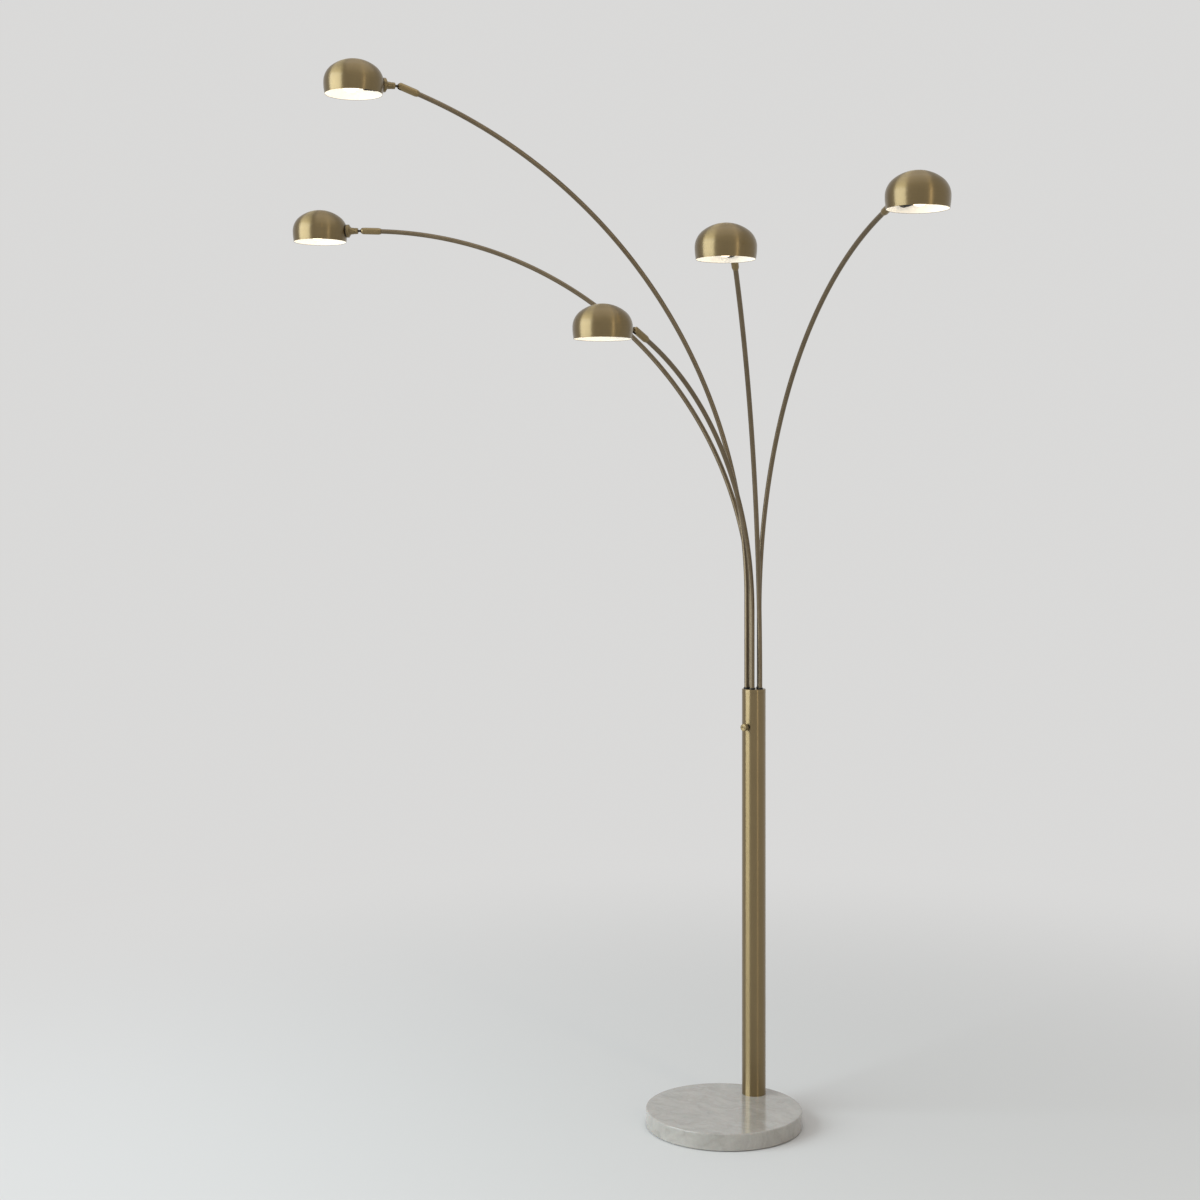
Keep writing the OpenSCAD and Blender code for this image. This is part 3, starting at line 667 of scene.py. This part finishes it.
def holder(k):
    """Moulded lampholder: plain shoulder, ribbed grip, groove, then the threaded front with its lip."""
    pin, out, _ = head_place(k)
    points = [(38.0, 6.05), (38.0, 7.5), (40.0, 7.5), (40.0, 13.2), (55.0, 13.5), (55.6, 12.6),
              (57.0, 12.6), (57.6, 13.4), (60.0, 13.4), (60.6, 12.9), (62.0, 12.9), (62.6, 13.4),
              (65.0, 13.4), (65.6, 12.9), (67.0, 12.9), (67.6, 13.4), (73.0, 13.4), (73.0, 6.6),
              (53.0, 6.6), (53.0, 6.05), (38.0, 6.05)]
    radii = [0.3, 0.5, 0.3, 1.2, 0.3, 0.2, 0.2, 0.3, 0.3, 0.2, 0.2, 0.3, 0.3, 0.2, 0.2, 0.3, 0.6, 0.4, 0.0]
    rib_count, rib_depth = 28, 0.035
    grip = np.stack([np.linspace(41.5, 54.5, 14), np.linspace(13.23, 13.49, 14)], -1) * MM

    def ribs(a, s):
        """Narrow flutes round the grip, faded in and out along it."""
        on = faded(s, 42 * MM, 54 * MM, 1.0 * MM)
        return -rib_depth * on * np.clip(np.cos(rib_count * a), 0, 1) ** 2

    line = with_rows(rounded(points, radii) * MM, grip, 13.1 * MM)
    return turned(f"lampholder_{k}_moulding", line, pin, out, cols=112, wave=ribs)


def bulb_cap(k):
    """The bulb's screwed cap: its radius rises and falls once per turn of the thread along the axis."""
    pin, out, _ = head_place(k)
    first, last, pitch = 55.0, 73.4, 2.6
    s = np.linspace(first, last, 90)
    r = 6.15 + 0.28 * np.cos(2 * math.pi * (s - first) / pitch)
    contact = [(53.2, 0.0), (53.2, 2.5), (54.4, 3.2), (54.8, 5.6)]
    skirt = [(74.2, 6.9), (75.2, 7.1), (75.2, 0.0)]
    line = np.concatenate([contact, np.stack([s, r], -1), skirt])
    return turned(f"bulb_{k}_cap", line * MM, pin, out, cols=48)


def bulb_glass(k):
    """The opal globe: a waist that swells into a sphere of radius GLOBE_R about GLOBE_X.

    The waist's radius goes from neck_r to join_r as (1 - cos(t ease)) / (1 - cos(ease)), t from 0 to 1.
    """
    pin, out, _ = head_place(k)
    neck_x, neck_l, neck_r, join_r, join_x = 74.0, 13.0, 6.9, 14.0, 87.2
    ease = 0.62 * math.pi
    t = np.linspace(0, 1, 16)
    swell = (1 - np.cos(t * ease)) / (1 - math.cos(ease))
    neck = np.stack([neck_x + neck_l * t, neck_r + (join_r - neck_r) * swell], -1)
    first = math.acos((GLOBE_X - join_x) / GLOBE_R)
    a = np.linspace(math.pi - first, 0, 40)[1:]
    ball = np.stack([GLOBE_X + GLOBE_R * np.cos(a), GLOBE_R * np.sin(a)], -1)
    ball[-1, 1] = 0.0
    line = np.concatenate([[(neck_x, 0.0)], neck, ball])
    return turned(f"bulb_{k}_globe", line * MM, pin, out, cols=64)


def knob():
    """Knurled dimmer knob: fine flutes round the barrel, rounded face, a dimple at its centre."""
    turn = joints["dimmer_turn"]
    axis = np.array(turn["axis"])
    at = np.array(turn["pos_m"]) - axis * KNOB_JOINT
    barrel_r, flute_count, flute_depth = 7.5, 22, 0.03
    points = [(38.05, 0.0), (38.05, 3.05), (31.0, 3.05), (31.0, barrel_r), (40.0, barrel_r), (40.0, 2.2),
              (39.2, 1.6), (39.2, 0.0)]
    barrel = np.stack([np.linspace(31.8, 37.6, 12), np.full(12, barrel_r)], -1) * MM

    def flutes(a, s):
        """Shallow V flutes, faded at both ends of the barrel."""
        on = faded(s, 31.8 * MM, 37.8 * MM, 0.6 * MM)
        return -flute_depth * on * np.abs(np.cos(flute_count * a))

    line = with_rows(rounded(points, [0.0, 0.2, 0.4, 1.2, 0.3, 0.2]) * MM, barrel, 7.4 * MM)
    return turned("dimmer_knob_knurled", line, at, axis, cols=176, wave=flutes)


for k in HEADS:
    body = f"head_{k}"
    shell, lining = shade_shell(k), shade_lining(k)
    cut_away(shell, hole_tools(k))
    cut_away(lining, hole_tools(k))
    finish_piece(shell, brass_turned, body, "satin_brass", f"shade_{k}")
    finish_piece(lining, enamel_painted_glow, body, "white_enamel", f"shade_{k}")
    finish_piece(head_neck(k), brass_turned, body, "satin_brass", f"shade_neck_{k}")
    finish_piece(holder(k), black_moulded, body, "black_plastic", f"lampholder_{k}")
    finish_piece(bulb_cap(k), thread_metal, body, "steel", f"bulb_{k}")
    finish_piece(bulb_glass(k), opal, body, "lit_glass", f"bulb_{k}")
    finish_piece(arm_skin(k), brass_arm, f"arm_{k}", "arm_brass", f"arm_tube_{k}")
finish_piece(knob(), brass_turned, "knob", "satin_brass", "dimmer_knob")


# ---------------------------------------------------------------- stage

def softbox(name, place, target, width, height, radiance, colour):
    """A soft rectangular lamp whose face has the given radiance."""
    data = bpy.data.lights.new(name, "AREA")
    data.shape = "RECTANGLE"
    data.size, data.size_y = width, height
    data.energy = radiance * math.pi * width * height
    data.color = colour
    lamp = bpy.data.objects.new(name, data)
    lamp.location = place
    lamp.rotation_euler = (Vector(target) - Vector(place)).to_track_quat("-Z", "Y").to_euler()
    lamp.visible_camera = False
    bpy.context.scene.collection.objects.link(lamp)


def pale_floor():
    """A wide floor, matt and lit near the base, that melts into the surroundings' tone further out."""
    half = 14
    mesh = bpy.data.meshes.new("studio_floor")
    mesh.from_pydata([(-half, -half, 0), (half, -half, 0), (half, half, 0), (-half, half, 0)], [],
                     [(0, 1, 2, 3)])
    floor = bpy.data.objects.new("studio_floor", mesh)
    bpy.context.scene.collection.objects.link(floor)
    material, tree, shader = new_material("studio_floor", Roughness=0.85)
    place = node(tree, "ShaderNodeTexCoord")
    away = node(tree, "ShaderNodeVectorMath", operation="LENGTH")
    tree.links.new(place.outputs["Object"], away.inputs[0])
    far = spread(tree, away.outputs["Value"], 0.0, 1.0, 0.25, 2.8)
    far.node.interpolation_type = "SMOOTHSTEP"
    tree.links.new(tone(tree, far, (0.70, 0.695, 0.685), (0.0, 0.0, 0.0)), shader.inputs["Base Color"])
    tree.links.new(spread(tree, far, 0.4, 0.0), shader.inputs["Specular IOR Level"])
    shader.inputs["Emission Color"].default_value = PALE_TINT
    tree.links.new(spread(tree, far, 0.0, PALE), shader.inputs["Emission Strength"])
    mesh.materials.append(material)


def surroundings():
    """Pale to the camera and in reflections, plainer and dimmer as the light on matt surfaces."""
    world = bpy.data.worlds.new("studio")
    bpy.context.scene.world = world
    world.use_nodes = True
    tree = world.node_tree
    background = tree.nodes["Background"]
    rays = node(tree, "ShaderNodeLightPath")
    seen = rays.outputs["Is Camera Ray"]
    for kind in ("Is Glossy Ray", "Is Transmission Ray"):
        either = node(tree, "ShaderNodeMath", operation="MAXIMUM")
        tree.links.new(seen, either.inputs[0])
        tree.links.new(rays.outputs[kind], either.inputs[1])
        seen = either.outputs[0]
    tree.links.new(spread(tree, seen, 0.50, PALE), background.inputs["Strength"])
    background.inputs["Color"].default_value = PALE_TINT


pale_floor()
surroundings()
# Each softbox: name, place, target, width, height, radiance, colour
SOFTBOXES = (
    ("key_softbox", (-4.20, -1.65, 2.30), (0.0, 0.0, 1.60), 4.0, 4.0, 4.9, (0.85, 0.95, 1.0)),
    ("fill_softbox", (1.75, -2.5, 1.6), (0.0, 0.0, 1.3), 0.30, 2.4, 3.2, (1.0, 0.86, 0.62)),
    ("top_softbox", (0.0, -0.4, 3.8), (0.0, 0.0, 0.0), 2.6, 2.6, 0.75, (1.0, 1.0, 1.0)),
)
for lamp in SOFTBOXES:
    softbox(*lamp)

lens = bpy.data.cameras.new("photo_camera")
lens.sensor_width = CAMERA_SENSOR
lens.lens = CAMERA_LENS
lens.shift_y = CAMERA_SHIFT
camera = bpy.data.objects.new("photo_camera", lens)
camera.location = CAMERA_PLACE
camera.rotation_euler = (math.radians(90), 0, 0)
bpy.context.scene.collection.objects.link(camera)
bpy.context.scene.camera = camera
bpy.context.scene.view_settings.view_transform = "Standard"
